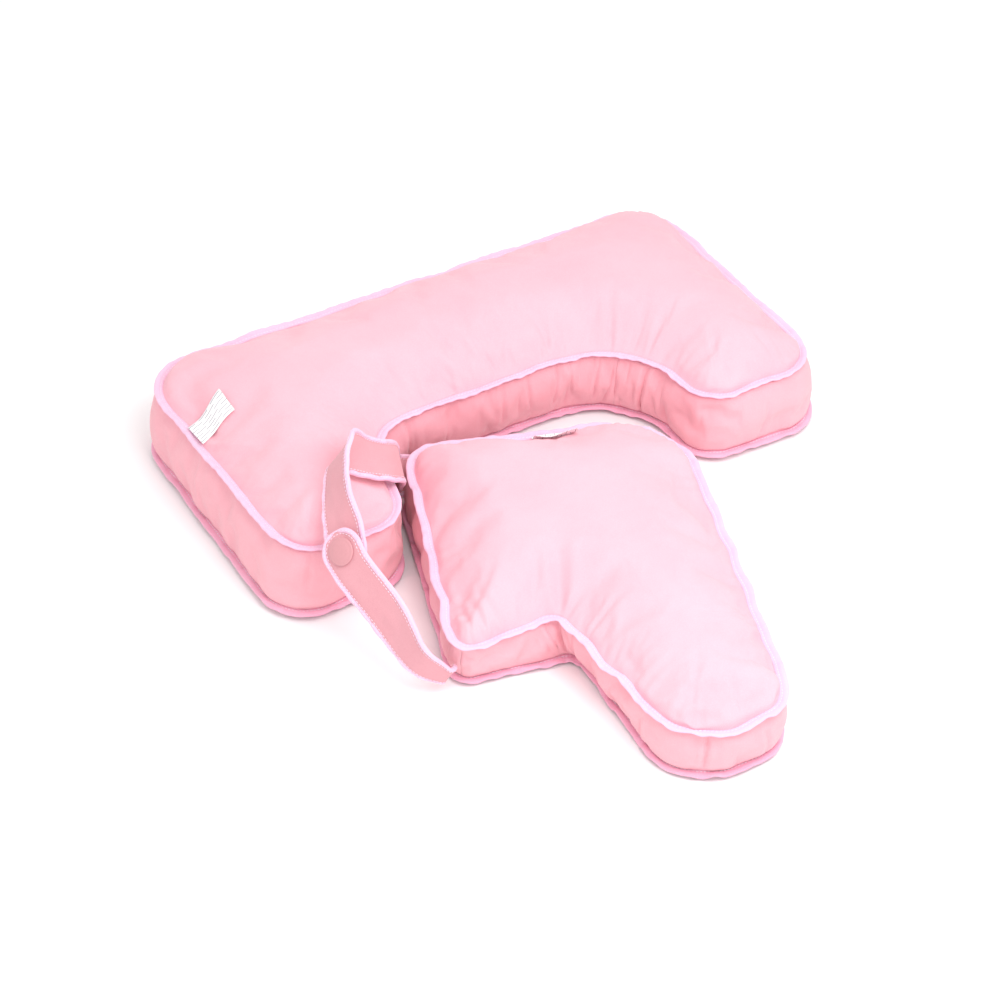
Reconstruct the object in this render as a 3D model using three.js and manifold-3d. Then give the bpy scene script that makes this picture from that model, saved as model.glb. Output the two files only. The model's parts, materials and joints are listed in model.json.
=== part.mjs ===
// Two-piece nursing pillow: a U-shaped boxed cushion, and a boot-shaped cushion that lies in its
// bay and carries a snap-fastened strap loop.
//
// Millimetres, +Z up. X runs along the large cushion's width, +Y towards its closed back, and both
// cushions lie on z = 0. The origin is the middle of the bounding box, at the bottom.
//
// Each cushion is a filling body in a sewn cover: a top panel, a bottom panel and a boxing wall,
// with a bound flange along the top seam and another along the bottom seam.

import * as THREE from 'three';
import { mergeVertices } from 'three/addons/utils/BufferGeometryUtils.js';
import Module from 'manifold-3d';

const wasm = await Module();
wasm.setup();

// ---------------------------------------------------------------- driving dimensions
const CLOTH = 1.5;           // a cover panel with its lining
const GAP = 0.35;            // clearance between touching pieces
const FILL_GAP = 2.4;        // clearance between the filling and its cover
const WALL_ROWS = 4;         // facets up a boxing wall
const ARC_STEPS = 2;         // facets on each half of a rounded corner

const BINDING_WIDTH = 7.6;   // the flange that stands out at a seam
const BINDING_THICK = 2.4;
const BINDING_TILT = 2.2;    // how far the flange's free edge turns away from the wall

// Corners run anticlockwise: place of the top seam, fillet radius, heights of the bottom and top
// seams, and how far the bottom seam stands from the top one in plan. 'steps' are the facets on
// each straight side, starting at the side after the first corner.
const LARGE = {
  corners: [
    { x: -176, y: -54, r: 36, low: 8, high: 76, lean: [0, -2] },    // left arm, bay side
    { x: -145, y: 76, r: 64, low: 8, high: 76, lean: [0, 6] },      // bay, left corner
    { x: 146, y: 78, r: 88, low: 8, high: 76, lean: [0, 6] },       // bay, right corner
    { x: 160, y: -50, r: 32, low: 8, high: 76, lean: [-2, -4] },    // right arm, bay side
    { x: 286, y: -50, r: 42, low: 8, high: 76, lean: [9, -6] },     // right arm, outer side
    { x: 291, y: 256, r: 50, low: 8, high: 76, lean: [8, 2] },      // back right
    { x: -291, y: 256, r: 50, low: 8, high: 76, lean: [-9, 2] },    // back left
    { x: -280, y: -54, r: 42, low: 8, high: 76, lean: [-14, -3] },  // left arm, outer side
  ],
  steps: [3, 6, 3, 3, 3, 6, 3, 3],
  chain: 3,                  // sides in the inner chain, and again in the outer one
  crown: 32,                 // how far the stuffed top stands above its seam
  crownReach: 65,            // distance from the seam at which the crown is full
  bulge: 6,                  // how far the walls belly out
};

const SMALL = {
  corners: [
    { x: -202, y: -208, r: 12, low: 6, high: 51, lean: [4, 8] },     // strap end, front
    { x: -102, y: -208, r: 20, low: 6, high: 52, lean: [14, -8] },   // inner corner of the boot
    { x: -93, y: -398, r: 50, low: 6, high: 53, lean: [0, 0] },      // foot, left
    { x: 5, y: -405, r: 48, low: 6, high: 54, lean: [0, 0] },        // foot, right
    { x: 130, y: -34, r: 78, low: 6, high: 54, lean: [0, 0] },       // rear right
    { x: -114, y: 42, r: 26, low: 11, high: 58, lean: [-8, -4] },    // strap end, rear
  ],
  steps: [3, 4, 3, 4, 3, 3],
  chain: 2,
  crown: 28,
  crownReach: 60,
  bulge: 4,
};
const HEM_REACH = 25;        // the bottom panel curls up to its seam over this distance

const STRAP_WIDTH = 42;
const STRAP_BINDING = 4;     // width of the bound edge
const WEB_THICK = 2.4;
const EDGE_THICK = 4.2;
const STRAP_STEP = 9;        // facet length along the strap

// Routes are [upper edge, lower edge] at hand-placed stations, from the sewn root towards the tip.
const FRONT_ROUTE = [
  [[-209, -206, 50], [-209, -202, 9]],
  [[-226, -197, 64], [-236, -188, 25]],
  [[-230, -157, 88], [-254, -142, 56]],
  [[-241, -111, 113], [-267, -90, 90]],
  [[-236, -92, 126], [-262, -68, 104]],
];
// The rear half goes on under the front half's tip, so only its free stretch is listed.
const REAR_ROUTE = [
  [[-124, 46, 58], [-131, 42, 15]],
  [[-130, 37, 76], [-137, 19, 42]],
  [[-141, 24, 95], [-146, -5, 71]],
  [[-157, 12, 110], [-166, -20, 93]],
  [[-177, 8, 126], [-189, -19, 106]],
  [[-195, -2, 147], [-204, -14, 115]],
  [[-213, -33, 158], [-222, -10, 123]],
  [[-230, -68, 137], [-242, -37, 113]],
];

const CAP_RADIUS = 12.5;
const CAP_HEIGHT = 2.6;
const SHANK_RADIUS = 1.7;
const SOCKET_RADIUS = 6.2;
const SOCKET_BORE = 3.2;
const SOCKET_HEIGHT = 1.8;
const SNAP_GAP = 0.9;        // between a snap piece and the strap's slightly twisted face
const STUD_RADIUS = 6;
const STUD_BASE = 0.7;
const NUB_RADIUS = 1.6;
const NUB_HEIGHT = 1.5;
const POST_HEIGHT = 0.9;
const STACK = WEB_THICK + SOCKET_HEIGHT + STUD_BASE + 3 * SNAP_GAP;  // between the webs' middles

const LABEL_THICK = 0.7;
const LABEL_CLEARANCE = 0.6; // a label lies this far above its panel

// ---------------------------------------------------------------- materials
function cloth(colour, roughness = 0.92) {
  return new THREE.MeshStandardMaterial({ color: colour, roughness, metalness: 0 });
}
const PANEL = cloth(0xfccbd6);
const WALL = cloth(0xf9b7bf);
const BINDING = cloth(0xf7cbe6, 0.75);
const FILLING = cloth(0xf6f3ee, 1);
const LABEL = cloth(0xf4f2f3, 0.6);
const SNAP = cloth(0xe9b3b2, 0.45);

// ---------------------------------------------------------------- solids from loops and grids
/** A closed mesh from points and triangles, turned so that its faces point outwards. */
function solid(points, triangles) {
  let volume = 0;
  for (const [a, b, c] of triangles) {
    volume += points[a].dot(new THREE.Vector3().crossVectors(points[b], points[c]));
  }
  const facing = volume < 0 ? triangles.map(([a, b, c]) => [a, c, b]) : triangles;
  const geometry = new THREE.BufferGeometry().setFromPoints(points);
  geometry.setIndex(facing.flat());
  return geometry;
}

/** Joins sections with equal counts. A section goes up one side and comes back down the other. */
function sweep(sections, closed) {
  const points = sections.flat();
  const size = sections[0].length;
  const triangles = [];
  const quad = (a, b, c, d) => triangles.push([a, b, c], [a, c, d]);
  const spans = closed ? sections.length : sections.length - 1;
  for (let i = 0; i < spans; i++) {
    const here = i * size;
    const next = ((i + 1) % sections.length) * size;
    for (let j = 0; j < size; j++) {
      const k = (j + 1) % size;
      quad(here + j, next + j, next + k, here + k);
    }
  }
  if (!closed) {
    const last = (sections.length - 1) * size;
    for (let j = 0; j < size / 2 - 1; j++) {
      quad(j, j + 1, size - 2 - j, size - 1 - j);
      quad(last + size - 1 - j, last + size - 2 - j, last + j + 1, last + j);
    }
  }
  return solid(points, triangles);
}

/** The rim of a grid, in the order of its outline. */
function rim(grid) {
  const nu = grid.length - 1;
  const nv = grid[0].length - 1;
  const loop = [];
  for (let u = 0; u < nu; u++) loop.push(grid[u][0]);
  for (let v = 0; v < nv; v++) loop.push(grid[nu][v]);
  for (let u = nu; u > 0; u--) loop.push(grid[u][nv]);
  for (let v = nv; v > 0; v--) loop.push(grid[0][v]);
  return loop;
}

/** A body between two matching grids, with belts of points around its side between them. */
function gridBody(lower, upper, belts = []) {
  const index = new Map();
  const points = [];
  const id = (p) => {
    if (!index.has(p)) {
      index.set(p, points.length);
      points.push(p);
    }
    return index.get(p);
  };
  const triangles = [];
  const quad = (a, b, c, d) => triangles.push([id(a), id(b), id(c)], [id(a), id(c), id(d)]);
  for (let u = 0; u < upper.length - 1; u++) {
    for (let v = 0; v < upper[0].length - 1; v++) {
      quad(upper[u][v], upper[u + 1][v], upper[u + 1][v + 1], upper[u][v + 1]);
      quad(lower[u][v], lower[u][v + 1], lower[u + 1][v + 1], lower[u + 1][v]);
    }
  }
  const loops = [rim(lower), ...belts, rim(upper)];
  for (let k = 0; k < loops.length - 1; k++) {
    for (let i = 0; i < loops[k].length; i++) {
      const j = (i + 1) % loops[k].length;
      quad(loops[k][i], loops[k][j], loops[k + 1][j], loops[k + 1][i]);
    }
  }
  return solid(points, triangles);
}

// ---------------------------------------------------------------- cushion outlines
/** The arc that rounds a corner: centre, radius, start angle and signed sweep. */
function fillet(before, corner, after) {
  const at = new THREE.Vector2(corner.x, corner.y);
  const back = new THREE.Vector2(before.x, before.y).sub(at).normalize();
  const ahead = new THREE.Vector2(after.x, after.y).sub(at).normalize();
  const half = Math.acos(back.dot(ahead)) / 2;
  const middle = back.clone().add(ahead).normalize();
  const centre = at.clone().addScaledVector(middle, corner.r / Math.sin(half));
  const start = at.clone().addScaledVector(back, corner.r / Math.tan(half)).sub(centre).angle();
  const turn = Math.sign(ahead.cross(back));
  return { centre, r: corner.r, start, turn, sweep: turn * (Math.PI - 2 * half) };
}

/** A point on a fillet, with the outline's outward normal. */
function onFillet(arc, t) {
  const angle = arc.start + arc.sweep * t;
  const ray = new THREE.Vector2(Math.cos(angle), Math.sin(angle));
  return { at: arc.centre.clone().addScaledVector(ray, arc.r), out: ray.multiplyScalar(arc.turn) };
}

/** The seam outline as a closed loop of samples, each side running between two corner middles. */
function outline({ corners, steps }) {
  const count = corners.length;
  const arcs = corners.map((c, i) => fillet(corners[(i + count - 1) % count], c, corners[(i + 1) % count]));
  const loop = [];
  corners.forEach((corner, i) => {
    const next = corners[(i + 1) % count];
    const add = ({ at, out }, t) => {
      const low = THREE.MathUtils.lerp(corner.low, next.low, t);
      const high = THREE.MathUtils.lerp(corner.high, next.high, t);
      const lean = new THREE.Vector2(...corner.lean).lerp(new THREE.Vector2(...next.lean), t);
      loop.push({ at, out, low, high, lean });
    };
    const leave = onFillet(arcs[i], 1);
    const arrive = onFillet(arcs[(i + 1) % count], 0);
    for (let k = 0; k < ARC_STEPS; k++) add(onFillet(arcs[i], 0.5 + k / ARC_STEPS / 2), 0);
    for (let k = 0; k < steps[i]; k++) {
      add({ at: leave.at.clone().lerp(arrive.at, k / steps[i]), out: leave.out }, k / steps[i]);
    }
    for (let k = 0; k < ARC_STEPS; k++) add(onFillet(arcs[(i + 1) % count], k / ARC_STEPS / 2), 1);
  });
  return loop;
}

/** A point at an outline sample, moved out by 'offset', at height z on the leaning wall. */
function beside(sample, offset, z) {
  const down = THREE.MathUtils.clamp((sample.high - CLOTH - z) / (sample.high - sample.low - 2 * CLOTH), 0, 1);
  const flat = sample.at.clone().addScaledVector(sample.out, offset).addScaledVector(sample.lean, down);
  return new THREE.Vector3(flat.x, flat.y, z);
}

/** A Coons patch over the outline: rows run from the inner chain to the outer chain. */
function coons(loop, nu, nv) {
  const edge = {
    inner: (u) => loop[u],
    right: (v) => loop[nu + v],
    outer: (u) => loop[nu + nv + (nu - u)],
    left: (v) => loop[(loop.length - v) % loop.length],
  };
  const grid = [];
  for (let u = 0; u <= nu; u++) {
    const row = [];
    for (let v = 0; v <= nv; v++) {
      const s = u / nu;
      const t = v / nv;
      const p = new THREE.Vector3()
        .addScaledVector(edge.inner(u), 1 - t).addScaledVector(edge.outer(u), t)
        .addScaledVector(edge.left(v), 1 - s).addScaledVector(edge.right(v), s)
        .addScaledVector(edge.inner(0), -(1 - s) * (1 - t)).addScaledVector(edge.inner(nu), -s * (1 - t))
        .addScaledVector(edge.outer(0), -(1 - s) * t).addScaledVector(edge.outer(nu), -s * t);
      row.push(p);
    }
    grid.push(row);
  }
  return grid;
}

/** Distance in plan from a point to the 'high' or the 'low' seam. */
function seamDistance(loop, p, seam) {
  const at = new THREE.Vector3(p.x, p.y, 0);
  const near = new THREE.Vector3();
  let best = Infinity;
  loop.forEach((sample, i) => {
    const next = loop[(i + 1) % loop.length];
    const side = new THREE.Line3(beside(sample, 0, sample[seam]).setZ(0), beside(next, 0, next[seam]).setZ(0));
    side.closestPointToPoint(at, true, near);
    best = Math.min(best, near.distanceTo(at));
  });
  return best;
}

const swell = (distance, reach) => Math.sin((Math.PI / 2) * Math.min(1, distance / reach));

// ---------------------------------------------------------------- one cushion
/** Works out a cushion's outline, its grids and its surfaces. */
function cushion(spec) {
  const loop = outline(spec);
  const sides = spec.steps.map((n) => n + 2 * ARC_STEPS);
  const nu = sides.slice(0, spec.chain).reduce((a, b) => a + b);
  const nv = sides[spec.chain];
  /** The top panel's outer face, sunk by 'depth' and drawn in by 'inset'. */
  const top = (inset, depth) => {
    const grid = coons(loop.map((s) => beside(s, -inset, s.high)), nu, nv);
    grid.flat().forEach((p) => {
      p.z += spec.crown * swell(seamDistance(loop, p, 'high'), spec.crownReach) - depth;
    });
    return grid;
  };
  /** The bottom panel's outer face, raised by 'depth' and drawn in by 'inset'. */
  const bottom = (inset, depth) => {
    const grid = coons(loop.map((s) => beside(s, -inset, s.low)), nu, nv);
    grid.flat().forEach((p) => {
      p.z = p.z * (1 - swell(seamDistance(loop, p, 'low'), HEM_REACH)) + depth;
    });
    return grid;
  };
  const belly = (t) => spec.bulge * Math.sin(Math.PI * t);
  return { spec, loop, nu, nv, sides, top, bottom, belly };
}

function topPanel(c) {
  return gridBody(c.top(0, CLOTH), c.top(0, 0));
}

function bottomPanel(c) {
  return gridBody(c.bottom(0, 0), c.bottom(0, CLOTH));
}

function filling(c) {
  const lift = CLOTH + FILL_GAP;
  const belts = [];
  for (let k = 1; k < WALL_ROWS; k++) {
    const t = k / WALL_ROWS;
    belts.push(c.loop.map((s) => {
      const z = THREE.MathUtils.lerp(s.low + lift, s.high - lift, t);
      return beside(s, c.belly(t) - lift, z);
    }));
  }
  return gridBody(c.bottom(lift, lift), c.top(lift, lift), belts);
}

/** A stretch of boxing wall between two outline samples; its ends stop short of the neighbours. */
function wall(c, from, to) {
  const sections = [];
  const lift = CLOTH + GAP;
  for (let i = from; i <= to; i++) {
    const sample = c.loop[i % c.loop.length];
    const along = new THREE.Vector3(-sample.out.y, sample.out.x, 0);
    const trim = i === from ? GAP / 2 : i === to ? -GAP / 2 : 0;
    const outer = [];
    for (let k = 0; k <= WALL_ROWS; k++) {
      const t = k / WALL_ROWS;
      const z = THREE.MathUtils.lerp(sample.low + lift, sample.high - lift, t);
      outer.push([c.belly(t), z]);
    }
    const inner = outer.map(([offset, z]) => [offset - CLOTH, z]).reverse();
    sections.push([...outer, ...inner].map(([offset, z]) => beside(sample, offset, z).addScaledVector(along, trim)));
  }
  return sweep(sections, false);
}

/** The bound flange around a seam: 'turn' is +1 at the top seam and -1 at the bottom one. */
function seamBinding(c, turn) {
  const sections = c.loop.map((s) => {
    const seam = turn > 0 ? s.high : s.low;
    const near = seam - turn * CLOTH;
    const far = near + turn * BINDING_TILT;
    const edge = GAP + BINDING_WIDTH;
    return [
      beside(s, GAP, near), beside(s, edge, far),
      beside(s, edge, far + turn * BINDING_THICK), beside(s, GAP, near + turn * BINDING_THICK),
    ];
  });
  return sweep(sections, true);
}

// ---------------------------------------------------------------- strap
/** A strap half: places points at length s, across by t and out of the outer face by n. */
function strapFrame(route, facing) {
  const upper = new THREE.CatmullRomCurve3(route.map(([p]) => new THREE.Vector3(...p)));
  const lower = new THREE.CatmullRomCurve3(route.map(([, p]) => new THREE.Vector3(...p)));
  const middle = (u) => upper.getPoint(u).add(lower.getPoint(u)).multiplyScalar(0.5);
  const fine = 200;
  const lengths = [0];
  for (let i = 1; i <= fine; i++) {
    lengths.push(lengths[i - 1] + middle(i / fine).distanceTo(middle((i - 1) / fine)));
  }
  const length = lengths[fine];
  const parameter = (s) => {
    const i = Math.min(fine - 1, Math.max(0, lengths.findIndex((l) => l > s) - 1));
    const k = s >= length ? fine - 1 : i;
    return (k + (s - lengths[k]) / (lengths[k + 1] - lengths[k])) / fine;
  };
  const axes = (s) => {
    const u = Math.min(1, parameter(s));
    const before = middle(Math.max(0, u - 0.01));
    const after = middle(Math.min(1, u + 0.01));
    const along = after.sub(before).normalize();
    const across = upper.getPoint(u).sub(lower.getPoint(u));
    across.addScaledVector(along, -across.dot(along)).normalize();
    const out = new THREE.Vector3().crossVectors(along, across).multiplyScalar(facing);
    return { at: middle(u), across, out };
  };
  const place = (s, t, n) => {
    const f = axes(s);
    return f.at.clone().addScaledVector(f.across, t).addScaledVector(f.out, n);
  };
  return { length, axes, place };
}

const TIP_FACETS = 4;
const BOUND_RADIUS = STRAP_WIDTH / 2 - STRAP_BINDING / 2;

/** Lengths of the stations along the straight part of a strap half. */
function straightStations(frame) {
  const end = frame.length - STRAP_WIDTH / 2;
  const count = Math.round(end / STRAP_STEP);
  return Array.from({ length: count + 1 }, (_, i) => (end * i) / count);
}

function strapWeb(frame) {
  const half = STRAP_WIDTH / 2 - STRAP_BINDING - GAP;
  const h = WEB_THICK / 2;
  const straight = straightStations(frame);
  const stations = straight.map((s) => [s, half]);
  for (let i = 1; i <= TIP_FACETS; i++) {
    const angle = (Math.PI / 2) * (i / TIP_FACETS) * 0.96;
    stations.push([straight.at(-1) + half * Math.sin(angle), half * Math.cos(angle)]);
  }
  return sweep(stations.map(([s, w]) => [
    frame.place(s, -w, -h), frame.place(s, w, -h), frame.place(s, w, h), frame.place(s, -w, h),
  ]), false);
}

/** The binding that runs up one edge, around the tip and back down the other edge. */
function strapBinding(frame) {
  const straight = straightStations(frame);
  const end = straight.at(-1);
  const path = straight.map((s) => ({ s, t: -BOUND_RADIUS, ds: 0, dt: -1 }));
  for (let i = 1; i < 2 * TIP_FACETS; i++) {
    const angle = (Math.PI / 2) * (i / TIP_FACETS - 1);
    const ds = Math.cos(angle);
    const dt = Math.sin(angle);
    path.push({ s: end + BOUND_RADIUS * ds, t: BOUND_RADIUS * dt, ds, dt });
  }
  straight.reverse().forEach((s) => path.push({ s, t: BOUND_RADIUS, ds: 0, dt: 1 }));
  const w = STRAP_BINDING / 2;
  const h = EDGE_THICK / 2;
  return sweep(path.map(({ s, t, ds, dt }) => [
    frame.place(s - w * ds, t - w * dt, -h), frame.place(s + w * ds, t + w * dt, -h),
    frame.place(s + w * ds, t + w * dt, h), frame.place(s - w * ds, t - w * dt, h),
  ]), false);
}

// ---------------------------------------------------------------- snap
/** A turned piece about its own Z axis, from a profile of [radius, height] pairs. */
function turned(profile, facets = 24) {
  const lathe = new THREE.LatheGeometry(profile.map(([r, z]) => new THREE.Vector2(r, z)), facets);
  lathe.rotateX(Math.PI / 2);
  lathe.deleteAttribute('normal');
  lathe.deleteAttribute('uv');
  const merged = mergeVertices(lathe, 1e-5);
  const place = merged.attributes.position;
  const points = Array.from({ length: place.count }, (_, i) => new THREE.Vector3().fromBufferAttribute(place, i));
  const triangles = [];
  for (let i = 0; i < merged.index.count; i += 3) {
    const [a, b, c] = [0, 1, 2].map((k) => merged.index.getX(i + k));
    if (a !== b && b !== c && c !== a) triangles.push([a, b, c]);
  }
  return solid(points, triangles);
}

function toManifold(geometry) {
  return new wasm.Manifold(new wasm.Mesh({
    numProp: 3,
    vertProperties: new Float32Array(geometry.attributes.position.array),
    triVerts: new Uint32Array(geometry.index.array),
  }));
}

function fromManifold(body) {
  const { vertProperties, triVerts } = body.getMesh();
  const geometry = new THREE.BufferGeometry();
  geometry.setAttribute('position', new THREE.BufferAttribute(vertProperties, 3));
  geometry.setIndex(new THREE.BufferAttribute(triVerts, 1));
  return geometry;
}

/** The turning from a snap piece's own axes to a strap half's face, at length s. */
function snapPlace(frame, s) {
  const { across, out } = frame.axes(s);
  const matrix = new THREE.Matrix4().makeBasis(across, new THREE.Vector3().crossVectors(out, across), out);
  return matrix.setPosition(frame.place(s, 0, 0));
}

/** A web with the hole that a snap's shank goes through. */
function piercedWeb(web, place) {
  const drill = turned([[0, -6], [SHANK_RADIUS + GAP, -6], [SHANK_RADIUS + GAP, 6], [0, 6]], 12);
  drill.applyMatrix4(place);
  return fromManifold(toManifold(web).subtract(toManifold(drill)));
}

// ---------------------------------------------------------------- labels
/** A label sewn in at a seam, lying on a cushion's top: 'base' runs along the seam. */
function label(c, base, reach, shear) {
  const [start, end] = base.map(([x, y]) => new THREE.Vector2(x, y));
  const along = end.clone().sub(start);
  const inward = new THREE.Vector2(reach[0], reach[1]);
  const steps = 4;
  const sections = [];
  for (let i = 0; i <= steps; i++) {
    const corners = [0, 1].map((side) => {
      const p = start.clone().addScaledVector(along, side).addScaledVector(inward, i / steps);
      p.y += shear * (i / steps);
      const d = seamDistance(c.loop, p, 'high');
      const seam = Math.max(...c.loop.map((s) => s.high));
      const z = seam + c.spec.crown * swell(d, c.spec.crownReach) + LABEL_CLEARANCE;
      return new THREE.Vector3(p.x, p.y, z);
    });
    const lift = new THREE.Vector3(0, 0, LABEL_THICK);
    sections.push([corners[0], corners[1], corners[1].clone().add(lift), corners[0].clone().add(lift)]);
  }
  return sweep(sections, false);
}

// ---------------------------------------------------------------- assembly
const model = new THREE.Group();

function add(name, geometry, material, matrix) {
  const mesh = new THREE.Mesh(geometry, material);
  mesh.name = name;
  if (matrix) matrix.decompose(mesh.position, mesh.quaternion, mesh.scale);
  model.add(mesh);
}

const large = cushion(LARGE);
const bayFrom = large.sides[0];
const bayTo = bayFrom + large.sides[1];
add('main_fill', filling(large), FILLING);
add('main_top_panel', topPanel(large), PANEL);
add('main_bottom_panel', bottomPanel(large), PANEL);
add('main_wall_bay', wall(large, bayFrom, bayTo), WALL);
add('main_wall_outer', wall(large, bayTo, bayFrom + large.loop.length), WALL);
add('main_top_binding', seamBinding(large, 1), BINDING);
add('main_bottom_binding', seamBinding(large, -1), BINDING);
add('main_care_label', label(large, [[-288.3, 157], [-287.2, 125]], [36, 0], 4), LABEL);

const small = cushion(SMALL);
const wallEnd = small.loop.length - small.nv;
add('small_fill', filling(small), FILLING);
add('small_top_panel', topPanel(small), PANEL);
add('small_bottom_panel', bottomPanel(small), PANEL);
add('small_wall', wall(small, 0, wallEnd), WALL);
add('small_end_wall', wall(small, wallEnd, small.loop.length), WALL);
add('small_top_binding', seamBinding(small, 1), BINDING);
add('small_bottom_binding', seamBinding(small, -1), BINDING);
add('small_care_label', label(small, [[36, -8], [-4, 4.4]], [-5, -15], 0), LABEL);

const front = strapFrame(FRONT_ROUTE, -1);
const frontSnapAt = front.length - STRAP_WIDTH / 2;
const underFront = [STRAP_WIDTH / 2, 0, -STRAP_WIDTH / 2].map((ahead) => [STRAP_WIDTH / 2, -STRAP_WIDTH / 2]
  .map((t) => front.place(frontSnapAt + ahead, t, -STACK).toArray()));
const rear = strapFrame([...REAR_ROUTE, ...underFront], 1);
const frontSnap = snapPlace(front, frontSnapAt);
const rearSnap = frontSnap.clone().multiply(new THREE.Matrix4().makeTranslation(0, 0, -STACK));
const face = WEB_THICK / 2 + SNAP_GAP;

add('strap_front_web', piercedWeb(strapWeb(front), frontSnap), WALL);
add('strap_front_binding', strapBinding(front), BINDING);
add('snap_cap', turned([
  [0, -WEB_THICK / 2], [SHANK_RADIUS, -WEB_THICK / 2], [SHANK_RADIUS, face], [CAP_RADIUS, face],
  [CAP_RADIUS, face + 0.3 * CAP_HEIGHT], [0.8 * CAP_RADIUS, face + 0.8 * CAP_HEIGHT],
  [0.4 * CAP_RADIUS, face + CAP_HEIGHT], [0, face + CAP_HEIGHT],
]), SNAP, frontSnap);
add('snap_socket', turned([
  [SOCKET_BORE, -face], [SOCKET_RADIUS, -face], [SOCKET_RADIUS, -face - SOCKET_HEIGHT],
  [SOCKET_BORE, -face - SOCKET_HEIGHT], [SOCKET_BORE, -face],
]), SNAP, frontSnap);

add('strap_rear_web', piercedWeb(strapWeb(rear), rearSnap), WALL);
add('strap_rear_binding', strapBinding(rear), BINDING);
add('snap_stud', turned([
  [0, face], [STUD_RADIUS, face], [STUD_RADIUS, face + STUD_BASE], [NUB_RADIUS, face + STUD_BASE],
  [NUB_RADIUS, face + STUD_BASE + NUB_HEIGHT], [0, face + STUD_BASE + NUB_HEIGHT],
]), SNAP, rearSnap);
add('snap_post', turned([
  [0, -face - POST_HEIGHT], [STUD_RADIUS, -face - POST_HEIGHT], [STUD_RADIUS, -face],
  [SHANK_RADIUS, -face], [SHANK_RADIUS, WEB_THICK / 2], [0, WEB_THICK / 2],
]), SNAP, rearSnap);

// The origin goes to the middle of the bounding box in plan; both cushions already lie on z = 0.
const middle = new THREE.Box3().setFromObject(model).getCenter(new THREE.Vector3());
model.position.set(-middle.x, -middle.y, 0);

export default model;
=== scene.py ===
# Two-piece nursing pillow in quilted cotton: a U-shaped boxed cushion, and a boot-shaped cushion
# in its bay with a snap-fastened strap loop. Metres, in the CAD model's frame.
import json
import math

import bpy
import numpy as np
from mathutils import Matrix, Vector, noise

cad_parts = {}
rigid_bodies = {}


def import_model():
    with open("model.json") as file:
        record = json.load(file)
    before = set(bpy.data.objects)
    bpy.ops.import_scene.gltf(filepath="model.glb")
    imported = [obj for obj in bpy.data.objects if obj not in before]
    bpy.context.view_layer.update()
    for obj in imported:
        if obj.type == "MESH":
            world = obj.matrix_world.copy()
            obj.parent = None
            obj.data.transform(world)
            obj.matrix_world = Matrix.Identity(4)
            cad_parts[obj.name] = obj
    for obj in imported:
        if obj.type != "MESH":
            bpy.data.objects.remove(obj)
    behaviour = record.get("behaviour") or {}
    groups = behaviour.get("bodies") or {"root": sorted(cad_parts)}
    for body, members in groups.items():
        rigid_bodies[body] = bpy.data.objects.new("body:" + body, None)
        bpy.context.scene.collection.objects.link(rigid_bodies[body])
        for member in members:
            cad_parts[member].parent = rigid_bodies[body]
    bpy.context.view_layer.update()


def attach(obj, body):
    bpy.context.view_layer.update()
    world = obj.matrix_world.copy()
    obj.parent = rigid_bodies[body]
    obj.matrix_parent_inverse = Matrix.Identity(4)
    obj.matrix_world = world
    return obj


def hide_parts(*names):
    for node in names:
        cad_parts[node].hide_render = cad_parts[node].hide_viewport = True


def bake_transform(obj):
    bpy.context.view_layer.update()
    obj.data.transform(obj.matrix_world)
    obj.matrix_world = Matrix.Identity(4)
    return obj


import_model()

# ------------------------------------------------------------------ driving dimensions
MM = 0.001
SHIFT = np.array([0.0, 0.072167, 0.0])   # from the outlines' own origin to the model's

# Corners run anticlockwise: x, y, fillet radius, heights of the bottom and of the top seam, and how
# far the bottom seam stands from the top one in x and in y, all in mm. 'steps' are the mesh steps
# on each side, starting at the side after the first corner.
LARGE = {
    "corners": [
        (-176, -54, 36, 8, 76, 0, -2),
        (-145, 76, 64, 8, 76, 0, 6),
        (146, 78, 88, 8, 76, 0, 6),
        (160, -50, 32, 8, 76, -2, -4),
        (286, -50, 42, 8, 76, 9, -6),
        (291, 256, 50, 8, 76, 8, 2),
        (-291, 256, 50, 8, 76, -9, 2),
        (-280, -54, 42, 8, 76, -14, -3),
    ],
    "steps": [34, 66, 34, 22, 34, 66, 34, 22],
    "chain": 3,
    "crown": 32,
    "reach": 72,
    "bulge": 5,
}
SMALL = {
    "corners": [
        (-202, -208, 12, 6, 51, 4, 8),
        (-102, -208, 20, 6, 52, 14, -8),
        (-93, -398, 50, 6, 53, 0, 0),
        (5, -405, 48, 6, 54, 0, 0),
        (130, -34, 78, 6, 54, 0, 0),
        (-114, 42, 26, 11, 58, -8, -4),
    ],
    "steps": [26, 44, 30, 42, 28, 30],
    "chain": 2,
    "crown": 29,
    "reach": 64,
    "bulge": 4,
}
HEM_REACH = 25 * MM
WALL_STEPS = 8
REFINE = 3


# ------------------------------------------------------------------ small geometry helpers
def unit(v):
    v = np.asarray(v, float)
    return v / np.maximum(np.linalg.norm(v, axis=-1, keepdims=True), 1e-12)


def swell(distance, reach):
    return np.sin(np.pi / 2 * np.minimum(1, distance / reach))


def crown(distance, reach):
    """A fuller rise than swell's, as a stuffed panel leaves its seam steeply."""
    return (1 - (1 - np.minimum(1, distance / reach)) ** 2.1) ** 0.72


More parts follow.
